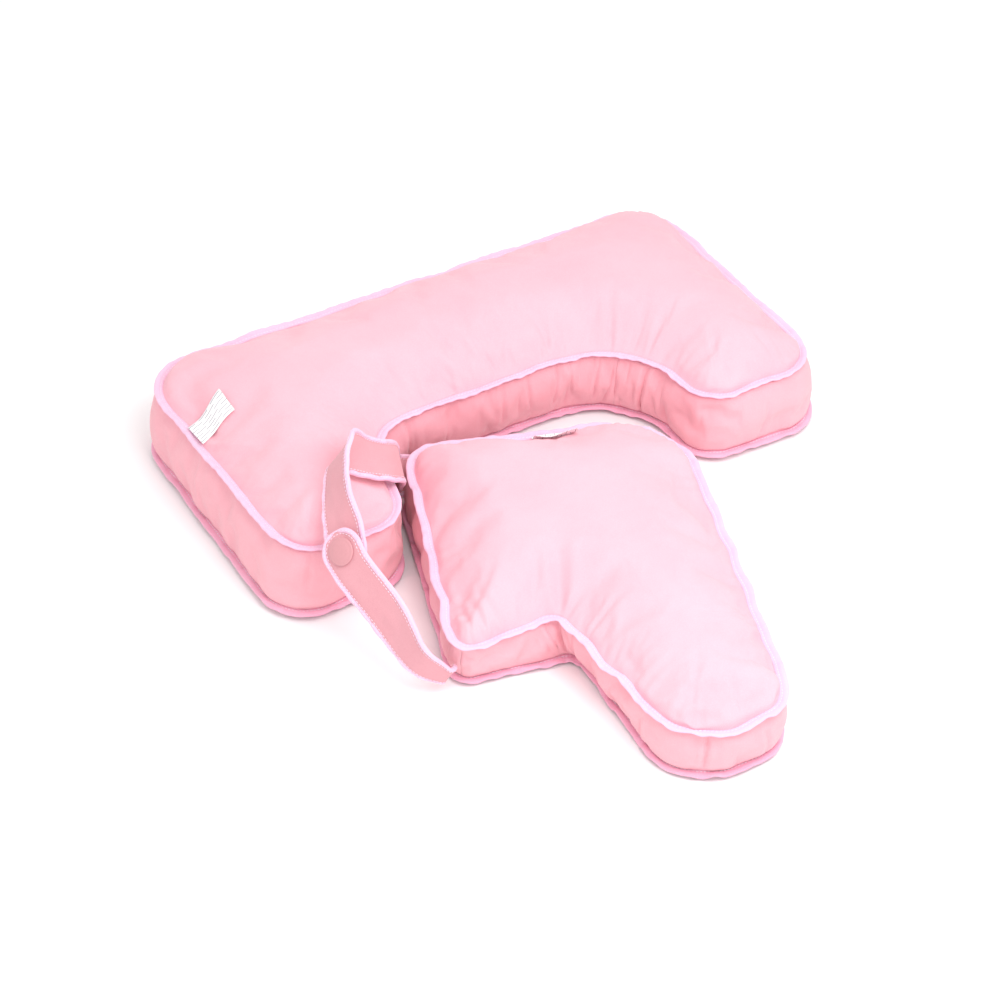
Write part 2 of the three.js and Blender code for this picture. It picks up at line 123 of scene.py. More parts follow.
def finer(a, k, axis, closed=False):
    """Catmull-Rom samples k times as dense along an axis."""
    a = np.moveaxis(a, axis, 0)
    n = len(a)
    count = n * k if closed else (n - 1) * k + 1
    t = np.arange(count) / k
    i = np.floor(t).astype(int)
    if not closed:
        i = np.minimum(i, n - 2)
    f = (t - i).reshape((-1,) + (1,) * (a.ndim - 1))
    if closed:
        p0, p1, p2, p3 = (a[(i + d) % n] for d in (-1, 0, 1, 2))
    else:
        pad = np.concatenate([2 * a[:1] - a[1:2], a, 2 * a[-1:] - a[-2:-1]])
        p0, p1, p2, p3 = (pad[i + 1 + d] for d in (-1, 0, 1, 2))
    out = 0.5 * (2 * p1 + (p2 - p0) * f + (2 * p0 - 5 * p1 + 4 * p2 - p3) * f**2
                 + (3 * p1 - p0 - 3 * p2 + p3) * f**3)
    return np.moveaxis(out, 0, axis)


def ripple(s, total, waves, seed):
    """Smooth periodic noise along a loop, between about -1 and 1."""
    rng = np.random.default_rng(seed)
    value = np.zeros_like(s)
    for count in waves:
        value += rng.normal() * np.sin(2 * np.pi * (count * s / total + rng.random()))
    return value / math.sqrt(len(waves))


def mesh_object(name, points, faces, uvs=None, smooth=True):
    mesh = bpy.data.meshes.new(name)
    mesh.from_pydata([tuple(p) for p in points], [], [tuple(f) for f in faces])
    if uvs is not None:
        layer = mesh.uv_layers.new(name="cloth")
        flat = np.array([uv for face in uvs for uv in face], np.float32)
        layer.data.foreach_set("uv", flat.ravel())
    mesh.polygons.foreach_set("use_smooth", [smooth] * len(mesh.polygons))
    mesh.update()
    obj = bpy.data.objects.new(name, mesh)
    bpy.context.scene.collection.objects.link(obj)
    return obj


# ------------------------------------------------------------------ cushion covers
def fillet(before, corner, after):
    at = np.array(corner[:2], float)
    back = unit(np.array(before[:2]) - at)
    ahead = unit(np.array(after[:2]) - at)
    half = math.acos(back @ ahead) / 2
    centre = at + unit(back + ahead) * corner[2] / math.sin(half)
    first = at + back * corner[2] / math.tan(half) - centre
    turn = math.copysign(1, ahead[0] * back[1] - ahead[1] * back[0])
    return centre, corner[2], math.atan2(first[1], first[0]), turn, turn * (math.pi - 2 * half)


def on_fillet(arc, ts):
    centre, r, start, turn, sweep = arc
    angle = start + sweep * np.asarray(ts)
    ray = np.stack([np.cos(angle), np.sin(angle)], 1)
    return centre + ray * r, ray * turn


def outline(spec):
    """Seam outline samples: place, outward normal, seam heights and the bottom seam's offset."""
    corners = spec["corners"]
    count = len(corners)
    arcs = [fillet(corners[i - 1], corners[i], corners[(i + 1) % count]) for i in range(count)]
    rows = []
    for i, steps in enumerate(spec["steps"]):
        j = (i + 1) % count
        a, a_out = on_fillet(arcs[i], np.linspace(0.5, 1, 12))
        b, b_out = on_fillet(arcs[j], np.linspace(0, 0.5, 12))
        at = np.concatenate([a, b])
        out = np.concatenate([a_out, b_out])
        share = np.concatenate([np.zeros(12), np.ones(12)])
        first = np.array(corners[i][3:], float)
        last = np.array(corners[j][3:], float)
        data = np.column_stack([at, out, first + (last - first) * share[:, None]])
        length = np.concatenate([[0], np.cumsum(np.linalg.norm(np.diff(at, axis=0), axis=1))])
        target = np.linspace(0, length[-1], steps + 1)[:-1]
        rows.append(np.column_stack([np.interp(target, length, col) for col in data.T]))
    data = np.concatenate(rows)
    at = data[:, :2] * MM + SHIFT[:2]
    return at, unit(data[:, 2:4]), data[:, 4] * MM, data[:, 5] * MM, data[:, 6:8] * MM


def coons(loop, nu, nv):
    inner = loop[: nu + 1]
    right = loop[nu : nu + nv + 1]
    outer = loop[nu + nv : 2 * nu + nv + 1][::-1]
    left = np.concatenate([loop[2 * nu + nv :], loop[:1]])[::-1]
    s = np.linspace(0, 1, nu + 1)[:, None, None]
    t = np.linspace(0, 1, nv + 1)[None, :, None]
    grid = inner[:, None] * (1 - t) + outer[:, None] * t + left[None] * (1 - s) + right[None] * s
    grid -= loop[0] * (1 - s) * (1 - t) + inner[-1] * s * (1 - t)
    grid -= left[-1] * (1 - s) * t + right[-1] * s * t
    return grid


def rim_index(nu, nv):
    """Grid places around the rim, in the order of the outline."""
    path = [(u, 0) for u in range(nu)] + [(nu, v) for v in range(nv)]
    path += [(u, nv) for u in range(nu, 0, -1)] + [(0, v) for v in range(nv, 0, -1)]
    return tuple(np.array(path).T)


def to_seam(points, loop):
    """Distance in plan from points to the seam outline, and the arc length of the nearest place."""
    a = loop
    side = np.roll(a, -1, 0) - a
    length = np.linalg.norm(side, axis=1)
    start = np.concatenate([[0], np.cumsum(length)[:-1]])
    best = np.full(len(points), np.inf)
    arc = np.zeros(len(points))
    for i in range(len(a)):
        t = np.clip((points - a[i]) @ side[i] / length[i] ** 2, 0, 1)
        d = np.linalg.norm(points - a[i] - t[:, None] * side[i], axis=1)
        closer = d < best
        best[closer] = d[closer]
        arc[closer] = start[i] + t[closer] * length[i]
    return best, arc


class Cover:
    """One cushion's cover: top and bottom panels as grids, and the boxing wall as a ring."""

    def __init__(self, spec):
        self.spec = spec
        self.at, self.out, self.low, self.high, self.lean = outline(spec)
        self.nu = sum(spec["steps"][: spec["chain"]])
        self.nv = spec["steps"][spec["chain"]]
        self.arc_setup()
        self.top = coons(np.column_stack([self.at, self.high]), self.nu, self.nv)
        distance, _ = self.seam(self.top)
        self.top[..., 2] += spec["crown"] * MM * crown(distance, spec["reach"] * MM)
        self.bottom = coons(np.column_stack([self.at + self.lean, self.low]), self.nu, self.nv)
        distance, _ = to_seam(self.bottom[..., :2].reshape(-1, 2), self.at + self.lean)
        self.bottom[..., 2] *= 1 - swell(distance.reshape(self.bottom.shape[:2]), HEM_REACH)
        t = np.linspace(0, 1, WALL_STEPS + 1)[None, :]
        belly = (spec["bulge"] * MM * np.sin(np.pi * t))[..., None]
        flat = self.at[:, None] + self.out[:, None] * belly + self.lean[:, None] * (1 - t)[..., None]
        z = self.low[:, None] * (1 - t) + self.high[:, None] * t
        self.wall = np.concatenate([flat, z[..., None]], 2)

    def arc_setup(self):
        step = np.linalg.norm(np.roll(self.at, -1, 0) - self.at, axis=1)
        self.arc = np.concatenate([[0], np.cumsum(step)[:-1]])
        self.total = step.sum()

    def seam(self, grid):
        distance, arc = to_seam(grid[..., :2].reshape(-1, 2), self.at)
        return distance.reshape(grid.shape[:2]), arc.reshape(grid.shape[:2])

    def ids(self):
        size = (self.nu + 1) * (self.nv + 1)
        top = np.arange(size).reshape(self.nu + 1, self.nv + 1)
        bottom = top + size
        rim = rim_index(self.nu, self.nv)
        count, rows = self.wall.shape[:2]
        wall = np.zeros((count, rows), int)
        wall[:, 0] = bottom[rim]
        wall[:, -1] = top[rim]
        wall[:, 1:-1] = np.arange(count * (rows - 2)).reshape(count, rows - 2) + 2 * size
        return top, bottom, wall

    def points(self):
        inner = self.wall[:, 1:-1].reshape(-1, 3)
        return np.concatenate([self.top.reshape(-1, 3), self.bottom.reshape(-1, 3), inner])

    def take(self, points):
        top, bottom, wall = self.ids()
        self.top = points[top]
        self.bottom = points[bottom]
        self.wall = points[wall]

    def faces(self):
        top, bottom, wall = self.ids()
        quads = [grid_quads(top), grid_quads(bottom)[:, ::-1], ring_quads(wall)]
        return np.concatenate(quads)

    def refine(self, k):
        """Samples every surface k times as densely."""
        self.top = finer(finer(self.top, k, 0), k, 1)
        self.bottom = finer(finer(self.bottom, k, 0), k, 1)
        self.wall = finer(finer(self.wall, k, 0, closed=True), k, 1)
        self.at = finer(self.at, k, 0, closed=True)
        self.out = unit(finer(self.out, k, 0, closed=True))
        self.nu *= k
        self.nv *= k
        self.arc_setup()
        self.close_rims()

    def close_rims(self):
        rim = rim_index(self.nu, self.nv)
        self.top[rim] = self.wall[:, -1]
        self.bottom[rim] = self.wall[:, 0]


def grid_quads(ids):
    corners = [ids[:-1, :-1], ids[1:, :-1], ids[1:, 1:], ids[:-1, 1:]]
    return np.stack([c.ravel() for c in corners], 1)


def ring_quads(ids):
    ahead = np.roll(ids, -1, 0)
    corners = [ids[:, :-1], ahead[:, :-1], ahead[:, 1:], ids[:, 1:]]
    return np.stack([c.ravel() for c in corners], 1)


def inflate(points, faces, held, slack, pressure, frames=18):
    """Blows a closed cover up with Blender's cloth, and gives back its settled points."""
    obj = mesh_object("inflating", points, faces)
    pins = obj.vertex_groups.new(name="held")
    for i in np.nonzero(held > 0)[0]:
        pins.add([int(i)], float(held[i]), "REPLACE")
    loose = obj.vertex_groups.new(name="tight")
    for i in np.nonzero(slack < 1)[0]:
        loose.add([int(i)], float(1 - slack[i]), "REPLACE")
    cloth = obj.modifiers.new("inflate", "CLOTH")
    settings = cloth.settings
    settings.quality = 4
    settings.mass = 0.15
    settings.tension_stiffness = 18
    settings.compression_stiffness = 14
    settings.shear_stiffness = 4
    settings.bending_stiffness = 0.25
    settings.air_damping = 4
    settings.vertex_group_mass = "held"
    settings.vertex_group_shrink = "tight"
    settings.shrink_min = -0.055
    settings.shrink_max = 0.0
    settings.use_pressure = True
    settings.uniform_pressure_force = pressure
    settings.effector_weights.gravity = 0
    cloth.collision_settings.use_collision = False
    cloth.point_cache.frame_end = frames
    scene = bpy.context.scene
    for step in range(1, frames + 1):
        scene.frame_set(step)
    solved = obj.evaluated_get(bpy.context.evaluated_depsgraph_get())
    result = np.zeros(len(points) * 3, np.float32)
    solved.data.vertices.foreach_get("co", result)
    bpy.data.objects.remove(obj)
    scene.frame_set(1)
    return result.reshape(-1, 3).astype(float)


def soften(points, faces, fixed, rounds):
    """Averages each point with its neighbours, except the fixed ones."""
    a = faces[:, [0, 1, 2, 3]].ravel()
    b = faces[:, [1, 2, 3, 0]].ravel()
    count = np.zeros(len(points))
    np.add.at(count, a, 1)
    np.add.at(count, b, 1)
    for _ in range(rounds):
        total = np.zeros_like(points)
        np.add.at(total, a, points[b])
        np.add.at(total, b, points[a])
        mean = total / count[:, None]
        points = np.where(fixed[:, None], points, 0.5 * points + 0.5 * mean)
    return points


def stuff(cover, seed, cap, pressure):
    """Waves the seams, inflates the cover with the seams held, and refines it."""
    s = cover.arc
    total = cover.total
    waves = [int(total / length) for length in (0.19, 0.13, 0.083, 0.061, 0.047)]
    lift = ripple(s, total, waves, seed) * 1.0 * MM
    push = ripple(s, total, waves, seed + 1) * 0.9 * MM
    share = np.linspace(0.4, 1, WALL_STEPS + 1)[:, None]
    cover.wall[..., :2] += (cover.out * push[:, None])[:, None] * share
    cover.wall[:, -1, 2] += lift
    cover.wall[:, 0, 2] += 0.5 * ripple(s, total, waves, seed + 2) * MM
    cover.close_rims()
    start = cover.points()
    faces = cover.faces()
    top, bottom, wall = cover.ids()
    held = np.zeros(len(start))
    held[bottom.ravel()] = 1
    held[wall[:, -1]] = 1
    slack = np.ones(len(start))
    distance, _ = cover.seam(cover.top)
    slack[top.ravel()] = np.clip(1.1 - distance.ravel() / (0.09), 0.25, 1)
    settled = inflate(start, faces, held, slack, pressure)
    move = settled - start
    far = np.linalg.norm(move, axis=1, keepdims=True)
    move *= np.minimum(1, cap / np.maximum(far, 1e-9))
    cover.take(soften(start + move, faces, held > 0, 1))
    cover.refine(REFINE)


# ------------------------------------------------------------------ materials
class Nodes:
    """Adds linked shader nodes to one material."""

    def __init__(self, name):
        self.material = bpy.data.materials.new(name)
        self.material.use_nodes = True
        self.tree = self.material.node_tree
        self.shader = self.tree.nodes["Principled BSDF"]

    def add(self, kind, values=None, **settings):
        node = self.tree.nodes.new(kind)
        for key, value in settings.items():
            setattr(node, key, value)
        for key, value in (values or {}).items():
            if isinstance(value, bpy.types.NodeSocket):
                self.tree.links.new(value, node.inputs[key])
            else:
                node.inputs[key].default_value = value
        return node

    def feed(self, name, socket):
        self.tree.links.new(socket, self.shader.inputs[name])

    def set(self, **values):
        for key, value in values.items():
            self.shader.inputs[key.replace("_", " ")].default_value = value


def colour(r, g, b):
    """An sRGB colour, given as 0 to 255, as the linear values a socket takes."""
    def linear(c):
        c /= 255
        return c / 12.92 if c <= 0.04045 else ((c + 0.055) / 1.055) ** 2.4
    return (linear(r), linear(g), linear(b), 1.0)


def cotton(name, light, dark, thread=0.0008, crumple=0.0012, rough=0.88):
    """Woven cotton: a plain weave at thread pitch, soft crumpling and a mottled tone."""
    n = Nodes(name)
    cloth = n.add("ShaderNodeUVMap", uv_map="cloth").outputs["UV"]
    place = n.add("ShaderNodeTexCoord").outputs["Object"]
    pitch = 2 * math.pi / (20 * thread)
    warp = n.add("ShaderNodeTexWave", {"Vector": cloth, "Scale": pitch, "Distortion": 1.2, "Detail": 1.0,
                                       "Detail Scale": 0.05}, bands_direction="X")
    weft = n.add("ShaderNodeTexWave", {"Vector": cloth, "Scale": pitch, "Distortion": 1.2, "Detail": 1.0,
                                       "Detail Scale": 0.05}, bands_direction="Y")
    weave = n.add("ShaderNodeMath", {0: warp.outputs["Fac"], 1: weft.outputs["Fac"]}, operation="MULTIPLY")
    slub = n.add("ShaderNodeTexNoise", {"Vector": place, "Scale": 900.0, "Detail": 3.0, "Roughness": 0.6})
    soft = n.add("ShaderNodeTexNoise", {"Vector": place, "Scale": 55.0, "Detail": 4.0, "Roughness": 0.55,
                                        "Distortion": 0.4})
    tone = n.add("ShaderNodeTexNoise", {"Vector": place, "Scale": 14.0, "Detail": 5.0, "Roughness": 0.65})
    mottle = n.add("ShaderNodeMath", {0: tone.outputs["Fac"], 1: slub.outputs["Fac"]}, operation="ADD")
    share = n.add("ShaderNodeMapRange", {
        "Value": mottle.outputs["Value"], "From Min": 0.75, "From Max": 1.25,
    })
    base = n.add("ShaderNodeMix", {"Factor": share.outputs["Result"], 6: light, 7: dark}, data_type="RGBA")
    shade = n.add("ShaderNodeMapRange", {"Value": weave.outputs["Value"], "To Min": 0.94, "To Max": 1.03})
    woven = n.add("ShaderNodeVectorMath", {0: base.outputs[2]}, operation="SCALE")
    n.tree.links.new(shade.outputs["Result"], woven.inputs["Scale"])
    n.feed("Base Color", woven.outputs["Vector"])
    dull = n.add("ShaderNodeMapRange", {
        "Value": slub.outputs["Fac"], "To Min": rough - 0.08, "To Max": rough + 0.06,
    })
    n.feed("Roughness", dull.outputs["Result"])
    fine = n.add("ShaderNodeBump", {"Height": weave.outputs["Value"], "Strength": 0.5, "Distance": 0.00025})
    fuzz = n.add("ShaderNodeBump", {"Height": slub.outputs["Fac"], "Strength": 0.5, "Distance": 0.0003,
                                    "Normal": fine.outputs["Normal"]})
    rumple = n.add("ShaderNodeBump", {"Height": soft.outputs["Fac"], "Strength": 0.6, "Distance": crumple,
                                      "Normal": fuzz.outputs["Normal"]})
    n.feed("Normal", rumple.outputs["Normal"])
    n.set(Sheen_Weight=0.25, Sheen_Roughness=0.45, Specular_IOR_Level=0.25)
    return n.material


def satin(name, light, dark, rough, sheen=0.1):
    """A smooth, slightly mottled finish for the snap and the labels."""
    n = Nodes(name)
    place = n.add("ShaderNodeTexCoord").outputs["Object"]
    grain = n.add("ShaderNodeTexNoise", {"Vector": place, "Scale": 700.0, "Detail": 3.0})
    base = n.add("ShaderNodeMix", {"Factor": grain.outputs["Fac"], 6: light, 7: dark}, data_type="RGBA")
    n.feed("Base Color", base.outputs[2])
    dull = n.add("ShaderNodeMapRange", {
        "Value": grain.outputs["Fac"], "To Min": rough - 0.06, "To Max": rough + 0.06,
    })
    n.feed("Roughness", dull.outputs["Result"])
    bump = n.add("ShaderNodeBump", {"Height": grain.outputs["Fac"], "Strength": 0.25, "Distance": 0.0002})
    n.feed("Normal", bump.outputs["Normal"])
    n.set(Sheen_Weight=sheen)
    return n.material


def printed(name):
    """A white woven label with rows of plain grey dashes."""
    n = Nodes(name)
    cloth = n.add("ShaderNodeUVMap", uv_map="cloth").outputs["UV"]
    rows = n.add("ShaderNodeTexBrick", {
        "Vector": cloth, "Color1": colour(150, 146, 150), "Color2": colour(176, 172, 176),
        "Mortar": colour(250, 247, 249), "Scale": 1.0, "Mortar Size": 0.0019, "Mortar Smooth": 0.1,
        "Brick Width": 0.0140, "Row Height": 0.0044,
    }, offset=0.37)
    n.feed("Base Color", rows.outputs["Color"])
    weave = n.add("ShaderNodeTexNoise", {"Vector": cloth, "Scale": 1500.0, "Detail": 2.0})
    bump = n.add("ShaderNodeBump", {"Height": weave.outputs["Fac"], "Strength": 0.3, "Distance": 0.0002})
    n.feed("Normal", bump.outputs["Normal"])
    n.set(Roughness=0.55, Sheen_Weight=0.1)
    return n.material


PANEL = cotton("panel_cotton", colour(252, 191, 203), colour(250, 182, 195))
WALL = cotton("wall_cotton", colour(251, 185, 195), colour(247, 176, 187))
TAPE_WEAVE = dict(thread=0.0006, crumple=0.0006)
TAPE = cotton("binding_tape", colour(253, 208, 232), colour(250, 196, 223), **TAPE_WEAVE)
# The bottom binding is the same tape as the top one. Its darker, pinker colour is painted shade and painted
# floor bounce light along the bottom seam.
LOW_TAPE_PAINTED_SHADE = cotton("bottom_binding_tape_painted_shade", colour(252, 190, 214), colour(249, 178, 204), **TAPE_WEAVE)
THREAD = satin("thread", colour(250, 232, 242), colour(240, 208, 226), 0.5)
STRAP = cotton("strap_cotton", colour(231, 167, 176), colour(225, 157, 166))
SNAP = satin("snap_satin", colour(215, 152, 158), colour(207, 143, 150), 0.34)
LABEL = printed("label_print")


def finish_with(obj, material):
    obj.data.materials.append(material)
    return obj


# ------------------------------------------------------------------ cushions
def grid_normals(grid, closed=False):
    if closed:
        along = np.roll(grid, -1, 0) - np.roll(grid, 1, 0)
    else:
        along = np.gradient(grid, axis=0)
    return unit(np.cross(along, np.gradient(grid, axis=1)))


def dent(cover, x, y, reach, deep):
    """Lowers a top panel softly about a place, all in mm, fading out at the seam."""
    place = np.array([x, y]) * MM + SHIFT[:2]
    gap = np.linalg.norm(cover.top[..., :2] - place, axis=-1)
    distance, _ = cover.seam(cover.top)
    cover.top[..., 2] -= deep * MM * np.exp(-((gap / (reach * MM)) ** 2)) * swell(distance, 0.012)


def folds(cover, lines):
    """Presses folds that run in from a seam: start x, y, heading, length, half width and depth."""
    distance, _ = cover.seam(cover.top)
    fade = swell(distance, 0.008)
    normals = grid_normals(cover.top)
    for x, y, heading, length, width, deep in lines:
        place = np.array([x, y]) * MM + SHIFT[:2]
        ahead = np.array([math.cos(math.radians(heading)), math.sin(math.radians(heading))])
        gap = cover.top[..., :2] - place
        run = gap @ ahead / (length * MM)
        side = (gap @ np.array([-ahead[1], ahead[0]])) / (width * MM)
        side = side / (0.6 + np.clip(run, 0, 1))
        span = np.clip(run / 0.12 + 0.4, 0, 1) * np.clip((1 - run) / 0.6, 0, 1)
        press = np.exp(-(side**2)) - 0.5 * np.exp(-((np.abs(side) - 1.9) ** 2))
        cover.top -= normals * (deep * MM * press * span * fade)[..., None]


def arc_at(cover, x, y):
    """Arc length along the seam outline nearest to a place given in mm."""
    place = np.array([x, y]) * MM + SHIFT[:2]
    return cover.arc[np.argmin(np.linalg.norm(cover.at - place, axis=1))]


def gather(cover, seed, size, reach):
    """Small folds that run in from the seams of a top panel."""
    distance, arc = cover.seam(cover.top)
    total = cover.total
    fine = ripple(arc, total, [int(total / w) for w in (0.017, 0.0135, 0.011, 0.0092)], seed)
    where = np.clip(0.55 + 0.6 * ripple(arc, total, [3, 5, 8, 13], seed + 5), 0, 1.3)
    fade = np.minimum(1, distance / 0.004) * np.exp(-distance / reach)
    cover.top += grid_normals(cover.top) * (fine * where * fade * size)[..., None]


def crease_wall(cover, creases):
    """Presses creases into the wall, each beside a place on the seam outline, in mm."""
    count, rows = cover.wall.shape[:2]
    t = np.linspace(0, 1, rows)[None, :]
    s = cover.arc[:, None]
    depth = np.zeros((count, rows))
    for x, y, *sizes, low, high in creases:
        width, deep, slant = (size * MM for size in sizes)
        place = arc_at(cover, x, y)
        gap = (s - place - slant * (t - 0.5) + cover.total / 2) % cover.total - cover.total / 2
        span = np.clip((t - low) / 0.15, 0, 1) * np.clip((high - t) / 0.15, 0, 1)
        depth += deep * np.exp(-((gap / width) ** 2)) * span
        depth -= 0.35 * deep * np.exp(-(((np.abs(gap) - 2.2 * width) / width) ** 2)) * span
    depth *= np.sin(np.pi * t) ** 0.5
    cover.wall[..., :2] -= cover.out[:, None] * depth[..., None]


def cover_piece(name, cover):
    points = cover.points()
    uv = points[:, :2]
    faces = cover.faces()
    obj = mesh_object(name, points, faces, uv[faces])
    return finish_with(obj, PANEL)


def wall_piece(name, cover, first, last):
    """The wall cloth between two outline samples, as a thin shell over the cover's side."""
    count = len(cover.at)
    span = np.arange(first, last + 1) % count
    normals = -grid_normals(cover.wall, closed=True)
    flip = np.sign((normals[..., :2] * cover.out[:, None]).sum(-1, keepdims=True))
    normals *= flip
    rows = slice(1, -1)
    skin = cover.wall[span][:, rows]
    n = normals[span][:, rows]
    outer = skin + n * 1.1 * MM
    inner = skin - n * 0.6 * MM
    size = skin.shape[0] * skin.shape[1]
    ids = np.arange(size).reshape(skin.shape[:2])
    back = ids + size
    faces = [grid_quads(ids), grid_quads(back)[:, ::-1]]
    for a, b in ((ids[:, 0], back[:, 0]), (back[:, -1], ids[:, -1])):
        faces.append(np.stack([a[:-1], b[:-1], b[1:], a[1:]], 1))
    for a, b in ((ids[0], back[0]), (back[-1], ids[-1])):
        faces.append(np.stack([a[:-1], a[1:], b[1:], b[:-1]], 1))
    faces = np.concatenate(faces)
    arc = np.unwrap(cover.arc[span] / cover.total * 2 * np.pi) / (2 * np.pi) * cover.total
    uv = np.stack([np.repeat(arc, skin.shape[1]), skin[..., 2].ravel()], 1)
    uv = np.concatenate([uv, uv])
    points = np.concatenate([outer.reshape(-1, 3), inner.reshape(-1, 3)])
    obj = mesh_object(name, points, faces, uv[faces])
    return finish_with(obj, WALL)


# Flange profile: distance out from the seam, and height about its middle, in mm.
TAPE_PROFILE = [
    (-1.2, -0.9), (1.0, -0.9), (1.9, -0.6), (3.0, -1.15), (5.0, -1.3), (6.8, -1.15), (7.7, -0.6),
    (8.0, 0.0), (7.7, 0.6), (6.8, 1.15), (5.0, 1.3), (3.0, 1.15), (1.9, 0.6), (1.0, 0.9), (-1.2, 0.9),
]
STITCH_OUT = 1.9 * MM


def flange_frame(cover, turn, seed):
    """Places along a seam for its flange: origin, outward direction, 'up' and width factor."""
    wall = cover.wall
    seam = wall[:, -1] if turn > 0 else wall[:, 0]
    k = 2
    seam = finer(seam, k, 0, closed=True)
    out = unit(finer(cover.out, k, 0, closed=True))
    step = np.linalg.norm(np.roll(seam, -1, 0) - seam, axis=1)
    arc = np.concatenate([[0], np.cumsum(step)[:-1]])
    total = step.sum()
    waves = [int(total / w) for w in (0.13, 0.083, 0.057, 0.041, 0.029)]
    loose = 0.07 if turn > 0 else 0.13
    tilt = turn * 0.2 + loose * ripple(arc, total, waves, seed)
    out3 = np.column_stack([out * np.cos(tilt)[:, None], np.sin(tilt)])
    up = np.column_stack([-out * np.sin(tilt)[:, None], np.cos(tilt)])
    width = 1 + 0.05 * ripple(arc, total, waves[1:], seed + 3)
    return seam, out3, up, width, arc


def flange_piece(name, cover, turn, seed):
    seam, out, up, width, arc = flange_frame(cover, turn, seed)
    profile = np.array(TAPE_PROFILE) * MM
    points = seam[:, None] + out[:, None] * (profile[:, 0] * width[:, None])[..., None] \
        + up[:, None] * profile[:, 1][:, None]
    pucker = 0.12 * MM * np.sin(2 * np.pi * arc / 0.0034)
    hem = 0.4 if turn > 0 else 1.0
    scallop = ripple(arc, arc[-1], [int(arc[-1] / w) for w in (0.021, 0.016, 0.0125)], seed + 8) * hem * MM
    points += up[:, None] * (scallop[:, None] * np.clip(profile[:, 0] / (8 * MM), 0, 1))[..., None]
    points += up[:, None] * (pucker[:, None] * np.sign(profile[:, 1]) * (profile[:, 0] < 4 * MM))[..., None]
    count, size = points.shape[:2]
    ids = np.arange(count * size).reshape(count, size)
    wrapped = np.concatenate([ids, ids[:, :1]], 1)
    faces = ring_quads(wrapped)
    across = np.concatenate([[0], np.cumsum(np.linalg.norm(np.diff(profile, axis=0), axis=1))])
    across = np.append(across, across[-1] + 0.0018)
    u = np.append(arc, arc[-1] + arc[1])
    uv = [[(u[i], across[j]), (u[i + 1], across[j]), (u[i + 1], across[j + 1]), (u[i], across[j + 1])]
          for i in range(count) for j in range(size)]
    obj = mesh_object(name, points.reshape(-1, 3), faces, uv)
    # the bottom flange takes the tape copy with painted shade and floor bounce light
    return finish_with(obj, TAPE if turn > 0 else LOW_TAPE_PAINTED_SHADE)


def stitch_rows(name, lines, pitch=3.4 * MM, length=2.5 * MM, radius=0.32 * MM):
    """Short raised threads along polylines, each line given as points and face normals."""
    points = []
    faces = []
    ring = [(0.0, 0.15), (0.18, 1.0), (0.5, 1.15), (0.82, 1.0), (1.0, 0.15)]
    for line, normal in lines:
        step = np.linalg.norm(np.diff(line, axis=0), axis=1)
        arc = np.concatenate([[0], np.cumsum(step)])
        for start in np.arange(0, arc[-1] - length, pitch):
            at = start + np.array([r[0] for r in ring]) * length
            here = np.column_stack([np.interp(at, arc, line[:, i]) for i in range(3)])
            n = unit(np.column_stack([np.interp(at, arc, normal[:, i]) for i in range(3)]))
            along = unit(here[-1] - here[0])
            side = unit(np.cross(n, along))
            first = len(points)
            for j, (_, fat) in enumerate(ring):
                for k in range(5):
                    a = 2 * np.pi * k / 5
                    offset = side[j] * np.cos(a) * 1.3 + n[j] * np.sin(a)
                    points.append(here[j] + offset * radius * fat)
            for j in range(len(ring) - 1):
                for k in range(5):
                    a, b = first + 5 * j + k, first + 5 * j + (k + 1) % 5
                    faces.append((a, b, b + 5, a + 5))
            faces.append(tuple(first + k for k in (4, 3, 2, 1, 0)))
            faces.append(tuple(first + 20 + k for k in range(5)))
    obj = mesh_object(name, points, faces)
    return finish_with(obj, THREAD)


def flange_stitches(name, cover, turn, seed):
    seam, out, up, _, _ = flange_frame(cover, turn, seed)
    lines = []
    for face in (1, -1):
        line = seam + out * STITCH_OUT + up * face * 0.62 * MM
        lines.append((np.concatenate([line, line[:1]]), np.concatenate([up, up[:1]]) * face))
    return stitch_rows(name, lines)


# ------------------------------------------------------------------ strap
STRAP_WIDTH = 42 * MM
STRAP_EDGE = 4.4 * MM
WEB_THICK = 2.4 * MM
STACK = 7.6 * MM
FRONT_ROUTE = [
    [(-209, -206, 50), (-209, -202, 9)],
    [(-226, -197, 64), (-236, -188, 25)],
    [(-230, -157, 88), (-254, -142, 56)],
    [(-241, -111, 113), (-267, -90, 90)],
    [(-236, -92, 126), (-262, -68, 104)],
]
REAR_ROUTE = [
    [(-124, 46, 58), (-131, 42, 15)],
    [(-130, 37, 76), (-137, 19, 42)],
    [(-141, 24, 95), (-146, -5, 71)],
    [(-157, 12, 110), (-166, -20, 93)],
    [(-177, 8, 126), (-189, -19, 106)],
    [(-195, -2, 147), (-204, -14, 115)],
    [(-213, -33, 158), (-222, -10, 123)],
    [(-230, -68, 137), (-242, -37, 113)],
]


def smooth_curve(points, samples):
    """A centripetal Catmull-Rom curve through points, sampled evenly in its parameter."""
    p = np.array(points, float)
    ends = np.concatenate([2 * p[:1] - p[1:2], p, 2 * p[-1:] - p[-2:-1]])
    out = []
    for u in np.linspace(0, 1, samples):
        place = (len(p) - 1) * u
        i = min(int(place), len(p) - 2)
        w = place - i
        a, b, c, d = ends[i : i + 4]
        d0, d1, d2 = (np.linalg.norm(y - x) ** 0.5 for x, y in ((a, b), (b, c), (c, d)))
        m1 = ((b - a) / d0 - (c - a) / (d0 + d1) + (c - b) / d1) * d1
        m2 = ((c - b) / d1 - (d - b) / (d1 + d2) + (d - c) / d2) * d1
        out.append(b + m1 * w + (3 * (c - b) - 2 * m1 - m2) * w**2 + (2 * (b - c) + m1 + m2) * w**3)
    return np.array(out)


